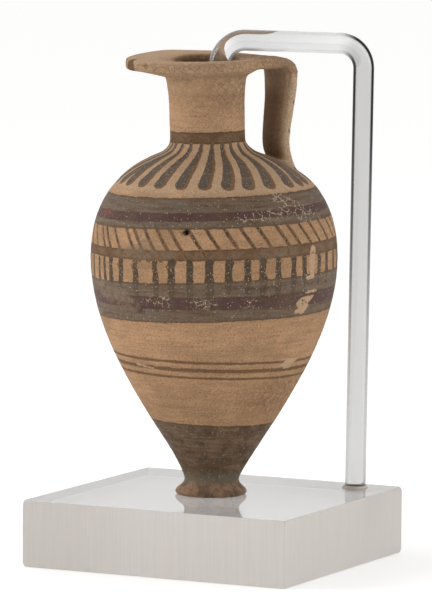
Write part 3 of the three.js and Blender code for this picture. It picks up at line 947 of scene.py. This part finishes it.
def wear(place, normals):
    """The worn skin, with pits, chips and the slight unevenness of throwing.

    It gives how broken each place is as well, and how dark the painted shade in its pits is.
    """
    moved = place.copy()
    radii = np.hypot(place[:, 0], place[:, 1])
    angle = from_front(place)

    def spot(degrees, height):
        """The point of the outside skin at an angle and a height, and the level way out from it."""
        beside = np.abs((angle - degrees + 180) % 360 - 180) < 3
        beside = beside & (np.abs(place[:, 2] - height) < 0.6)
        turned = math.radians(degrees - 90 + CAMERA_AZIMUTH)
        out = np.array([math.cos(turned), math.sin(turned), 0])
        return out * radii[beside].max() + np.array([0, 0, height]), out

    dark = np.zeros(len(place))
    for degrees, height, width, depth, darkness in KNOCKS:
        centre, _ = spot(degrees, height)
        share = np.clip(1 - np.linalg.norm(place - centre, axis=1) / width, 0, 1)
        moved -= normals * (depth * np.sqrt(share))[:, None]
        dark = np.maximum(dark, darkness * smooth(share, 0.0, 0.4))
    broken = np.zeros(len(place))
    for degrees, height, size, (sideways, upward), depth in CHIPS:
        centre, out = spot(degrees, height)
        way = out + np.array([-out[1], out[0], 0]) * sideways + np.array([0, 0, upward])
        way /= np.linalg.norm(way)
        over = (moved - centre) @ way + depth
        over = np.maximum(over, 0) * (np.linalg.norm(place - centre, axis=1) < size)
        moved -= way * over[:, None]
        broken = np.maximum(broken, 0.85 * smooth(over, 0.03, 0.2))
    for i, (px, py, pz) in enumerate(place):
        bump = noise.noise(Vector((px * 0.11, py * 0.11, pz * 0.11))) * 0.10
        bump += noise.noise(Vector((px * 0.05, py * 0.05, pz * 0.9))) * 0.05
        moved[i] += normals[i] * bump
    return moved, broken, dark


def build_flask(sizes, colours):
    """The flask, turned and joined to its strap, given one skin, hollowed, worn and painted."""
    bm = turn(flask_outline(), 180)
    shape_lip(bm)
    thrown = object_from(bm, "flask")
    handle = object_from(strap(), "flask_strap")
    joined = bmesh.new()
    joined.from_mesh(thrown.data)
    joined.from_mesh(handle.data)
    joined.to_mesh(thrown.data)
    joined.free()
    bpy.data.objects.remove(handle)
    skin = thrown.modifiers.new("skin", "REMESH")
    skin.mode = "VOXEL"
    skin.voxel_size = sizes.skin / MM
    settle(thrown)
    soft = bmesh.new()
    soft.from_mesh(thrown.data)
    bmesh.ops.smooth_vert(
        soft, verts=soft.verts, factor=0.5, use_axis_x=True, use_axis_y=True, use_axis_z=True,
    )
    soft.to_mesh(thrown.data)
    soft.free()
    cut_away(thrown, turn(hollow_outline(), 96), "flask_hollow")
    mesh = thrown.data
    place = read_points(mesh.vertices, "co")
    normals = read_points(mesh.vertex_normals, "vector")
    worn, broken, dark = wear(place, normals)
    paint(mesh, place, normals, broken, dark)
    final = lean(worn) + np.array([sizes.axis_x / MM, sizes.axis_y / MM, BLOCK_TOP])
    mesh.vertices.foreach_set("co", (final * MM).astype(np.float32).ravel())
    mesh.update()
    mesh.shade_smooth()
    dress(thrown, "vase", "fired_clay", painted_clay(colours))


# ---------------------------------------------------------------- the stand


def rod_path(sizes):
    """The points of the rod's centre line, and the level way from its leg to the mouth."""
    leg = Vector((sizes.leg_x, sizes.leg_y)) / MM
    axis = Vector((sizes.axis_x, sizes.axis_y)) / MM
    mouth = axis - Vector(TO_HANDLE[:2]) * (NECK_SHIFT + (LIP_TOP - NECK_FOOT) * LIP_SLOPE)
    reach = (mouth - leg).length - 4.0
    plan = (mouth - leg).normalized()
    radius = sizes.rod_diameter / MM / 2
    # Both bends' radii, how far the arm falls towards the leg, and degrees off upright at each end.
    leg_bend, mouth_bend, fall, leg_tilt, end_tilt = 7.4, 7.6, 1.4, 0.75, 3
    high = BLOCK_TOP + LIP_TOP + sizes.arm_clearance / MM + radius
    slope = math.degrees(math.atan2(fall, reach - leg_bend - mouth_bend))
    leg_top = high - fall - leg_bend
    leg_out = -math.tan(math.radians(leg_tilt)) * (leg_top - BLOCK_TOP)
    corners = [(0, BLOCK_TOP - sizes.socket_depth / MM + SOCKET_SLACK), (0, BLOCK_TOP)]
    corners += arc((leg_out + leg_bend, leg_top), leg_bend, 180 - leg_tilt, 90 + slope, 24)
    corners += arc((reach - mouth_bend, high - mouth_bend), mouth_bend, 90 + slope, end_tilt, 24)
    drop, end_tilt = 14, math.radians(end_tilt)
    out, up = corners[-1]
    corners.append((out + drop * math.sin(end_tilt), up - drop * math.cos(end_tilt)))
    points = [Vector((leg.x + plan.x * out, leg.y + plan.y * out, up)) for out, up in corners]
    path = [points[0]]
    for before, after in zip(points, points[1:]):
        parts = math.ceil((after - before).length / 1.5)
        path += [before.lerp(after, part / parts) for part in range(1, parts + 1)]
    return path, plan


def build_rod(sizes, colours):
    """The bent rod, with the strength of its painted edge reflections and painted grey shade along
    it.
    """
    points, plan = rod_path(sizes)
    across = Vector((-plan.y, plan.x, 0))
    radius = sizes.rod_diameter / MM / 2
    stations = []
    for i, point in enumerate(points):
        before = (point - points[i - 1]).normalized() if i > 0 else Vector()
        after = (points[i + 1] - point).normalized() if i + 1 < len(points) else Vector()
        stations.append(station(point, before + after, across, radius, radius))
    bm = sweep(stations, ROUND_SIDES)
    bmesh.ops.scale(bm, vec=(MM, MM, MM), verts=bm.verts)
    rod = object_from(bm, "rod")
    rod.data.shade_smooth()
    place = read_points(rod.data.vertices, "co") / MM
    up = place[:, 2] - BLOCK_TOP
    inward = (place[:, :2] - np.array([sizes.leg_x, sizes.leg_y]) / MM) @ np.array(plan)
    # The painted dark edge reflections are strongest at the top of the leg and fade down it. They
    # show again where the rod enters the mouth.
    leg = smooth(inward, 7.0, 1.0)
    lines = leg * (0.22 + 0.78 * smooth(up, 1, 111)) * smooth(up, 0, 2)
    mouth = 0.12 + 0.55 * smooth(inward, 28.0, 33.0) * smooth(up, 129, 126)
    write_fields(rod.data, {
        "edge_tone": np.maximum(lines, mouth),
        # Painted shade: the leg is grey, and the arm is clearer but grey along its top.
        "grey_tone": np.maximum(0.72 * leg, 0.75 * smooth(up, 127.5, 131.5)),
    })
    dress(rod, "stand_rod", "clear_acrylic", drawn_acrylic(colours))


def build_cement(sizes, colours):
    """The bead of cement where the rod's leg enters the block."""
    radius = sizes.rod_diameter / MM / 2
    bm = turn(
        [
            (0, 0.02), (radius + 0.75, 0.02), *arc((radius + 0.45, 0.2), 0.3, -30, 60, 4),
            (radius + 0.25, 0.5), (radius + 0.02, 0.7), (0, 0.7),
        ], 48,
    )
    # The bead swells and shrinks round the rod, and its inner edge stays on it.
    for vert in bm.verts:
        if vert.co.xy.length > radius + 0.1:
            swell = 1 + noise.noise(vert.co * 0.45) * 0.22 / radius
            vert.co.x *= swell
            vert.co.y *= swell
    bmesh.ops.translate(bm, vec=(sizes.leg_x / MM, sizes.leg_y / MM, BLOCK_TOP), verts=bm.verts)
    bmesh.ops.scale(bm, vec=(MM, MM, MM), verts=bm.verts)
    bead = object_from(bm, "cement_bead")
    drill(bead, (sizes.leg_x, sizes.leg_y, BLOCK_TOP * MM), (radius + 0.02) * MM, 10 * MM)
    bead.data.shade_smooth()
    dress(bead, None, "clear_acrylic", acrylic_cement(colours))


def build_block(sizes, colours):
    """The sawn block, with its corners and edges rubbed off and the rod's socket drilled."""
    low, high = BLOCK_LOW / MM, BLOCK_HIGH / MM
    bm = bmesh.new()
    bmesh.ops.create_cube(bm, size=1)
    bmesh.ops.scale(bm, vec=high - low, verts=bm.verts)
    bmesh.ops.translate(bm, vec=(high + low) / 2, verts=bm.verts)
    # The corners' points are rubbed round, then the upright edges, then the level ones. By then
    # only the block's own edges are longer than 10 mm.
    for affect, offset, segments, level in (
        ("VERTICES", sizes.saw_corner * 3.0, 4, None),
        ("EDGES", sizes.saw_corner, 2, False),
        ("EDGES", sizes.saw_edge, 2, True),
    ):
        geom = bm.verts[:] if level is None else [
            edge for edge in bm.edges if edge.calc_length() > 10
            and (abs(edge.verts[0].co.z - edge.verts[1].co.z) < 1e-4) == level
        ]
        bmesh.ops.bevel(
            bm, geom=geom, offset=offset / MM, offset_type="OFFSET", segments=segments,
            profile=0.5, affect=affect, material=-1,
        )
    bmesh.ops.recalc_face_normals(bm, faces=bm.faces)
    block = object_from(bm, "block")
    drill(
        block, (sizes.leg_x / MM, sizes.leg_y / MM, BLOCK_TOP),
        sizes.rod_diameter / MM / 2 + SOCKET_SLACK, sizes.socket_depth / MM * 2,
    )
    block.data.transform(Matrix.Scale(MM, 4))
    dress(
        block, "stand_block", "sawn_acrylic", cast_acrylic(colours), sawn_acrylic(colours),
    )
    # Level faces are polished, and the others are sawn.
    for face in block.data.polygons:
        face.material_index = 0 if abs(face.normal.z) > 0.9 else 1


# ---------------------------------------------------------------- floor, lights and camera


def build_stage(colours):
    """The pale floor, the white room and two soft lights."""
    bm = bmesh.new()
    bmesh.ops.create_grid(bm, x_segments=1, y_segments=1, size=8.0)
    bmesh.ops.translate(bm, vec=(0, 0, -0.0001), verts=bm.verts)
    floor = object_from(bm, "floor")
    material, node = new_material("Pale paper sweep")
    shader = node("BsdfPrincipled", {
        "Base Color": colours.floor, "Roughness": 0.9,
        "Emission Color": colours.floor, "Emission Strength": 0.3,
    })
    node("OutputMaterial", (shader,))
    floor.data.materials.append(material)

    scene = bpy.context.scene
    scene.view_settings.view_transform = "Standard"
    world = bpy.data.worlds.new("studio")
    scene.world = world
    world.use_nodes = True
    world.node_tree.nodes.clear()
    node = functools.partial(add, world.node_tree)
    # The studio is white all round, and dimmer behind the photographer.
    azimuth = math.radians(CAMERA_AZIMUTH)
    way = node("TexCoord").outputs["Generated"]
    to_camera = (math.sin(azimuth), -math.cos(azimuth), 0)
    front = node("VectorMath DOT_PRODUCT", (way, to_camera)).outputs["Value"]
    strength = node("MapRange", (front, 0.1, 0.9, 0.85, 0.47))
    background = node("Background", {"Color": (1, 1, 1, 1), "Strength": strength})
    node("OutputWorld", (background,))

    # Soft boxes: name, where, size and power. Each looks at the flask's middle.
    boxes = (
        ("left_light", (-0.84, -0.5, 0.6), 0.6, 3.8),
        ("right_light", (0.87, 0.2, 0.4), 0.7, 1.1),
    )
    for name, where, size, power in boxes:
        light = bpy.data.lights.new(name, "AREA")
        light.shape = "SQUARE"
        light.size = size
        light.energy = power
        lamp = bpy.data.objects.new(name, light)
        lamp.location = where
        aim = Vector((0, 0, 0.08)) - Vector(where)
        lamp.rotation_euler = aim.to_track_quat("-Z", "Y").to_euler()
        scene.collection.objects.link(lamp)


def build_camera():
    """The photograph's view: a long lens, a little above the table, at the block's front corner."""
    azimuth, elevation, roll = (math.radians(v) for v in (CAMERA_AZIMUTH, 6.42, 0.296))
    back = Vector((
        math.sin(azimuth) * math.cos(elevation), -math.cos(azimuth) * math.cos(elevation),
        math.sin(elevation),
    ))
    right = Vector((math.cos(azimuth), math.sin(azimuth), 0))
    up = back.cross(right)
    side = right * math.cos(roll) + up * math.sin(roll)
    top = up * math.cos(roll) - right * math.sin(roll)
    data = bpy.data.cameras.new("camera")
    data.sensor_width = 36.0
    data.lens = 337.25
    data.clip_start = 0.05
    data.clip_end = 100.0
    camera = bpy.data.objects.new("camera", data)
    place = Vector((0, 0, 0.073174)) + right * 0.000264 + back * 1.63281
    turned = Matrix((side, top, back)).transposed().to_4x4()
    camera.matrix_world = Matrix.Translation(place) @ turned
    bpy.context.scene.collection.objects.link(camera)
    bpy.context.scene.camera = camera


# ---------------------------------------------------------------- operators and panel


class FLASK_OT_stage(bpy.types.Operator):
    """Adds the pale floor, the soft lights and the camera"""

    bl_idname = "flask.stage"
    bl_label = "Stage and Camera"

    def execute(self, context):
        build_stage(context.scene.flask_colours)
        build_camera()
        return {"FINISHED"}


class FLASK_OT_block(bpy.types.Operator):
    """Builds the clear block with its polished top, sawn sides and drilled socket"""

    bl_idname = "flask.block"
    bl_label = "Clear Block"

    def execute(self, context):
        build_block(context.scene.flask_sizes, context.scene.flask_colours)
        return {"FINISHED"}


class FLASK_OT_rod(bpy.types.Operator):
    """Builds the bent clear rod"""

    bl_idname = "flask.rod"
    bl_label = "Clear Rod"

    def execute(self, context):
        build_rod(context.scene.flask_sizes, context.scene.flask_colours)
        return {"FINISHED"}


class FLASK_OT_cement(bpy.types.Operator):
    """Builds the bead of cement round the rod's leg"""

    bl_idname = "flask.cement"
    bl_label = "Cement Bead"

    def execute(self, context):
        build_cement(context.scene.flask_sizes, context.scene.flask_colours)
        return {"FINISHED"}


class FLASK_OT_flask(bpy.types.Operator):
    """Builds the hollow clay flask with its lip, strap handle, paint and wear"""

    bl_idname = "flask.flask"
    bl_label = "Painted Flask"

    def execute(self, context):
        build_flask(context.scene.flask_sizes, context.scene.flask_colours)
        return {"FINISHED"}


class FLASK_PT_panel(bpy.types.Panel):
    """The flask's sizes, colours and steps"""

    bl_label = "Painted Flask"
    bl_space_type = "VIEW_3D"
    bl_region_type = "UI"
    bl_category = "Flask"

    def draw(self, context):
        layout = self.layout
        for group in (context.scene.flask_sizes, context.scene.flask_colours):
            for name in group.__annotations__:
                layout.prop(group, name)
        for operator in STEPS:
            layout.operator(operator.bl_idname)


STEPS = (FLASK_OT_stage, FLASK_OT_block, FLASK_OT_rod, FLASK_OT_cement, FLASK_OT_flask)
CLASSES = (FlaskSizes, FlaskColours, *STEPS, FLASK_PT_panel)


def register():
    for cls in CLASSES:
        bpy.utils.register_class(cls)
    bpy.types.Scene.flask_sizes = bpy.props.PointerProperty(type=FlaskSizes)
    bpy.types.Scene.flask_colours = bpy.props.PointerProperty(type=FlaskColours)


def unregister():
    del bpy.types.Scene.flask_colours
    del bpy.types.Scene.flask_sizes
    for cls in reversed(CLASSES):
        bpy.utils.unregister_class(cls)


def main():
    register()
    bpy.ops.flask.stage()
    bpy.ops.flask.block()
    bpy.ops.flask.rod()
    bpy.ops.flask.cement()
    bpy.ops.flask.flask()


if __name__ == "__main__":
    main()
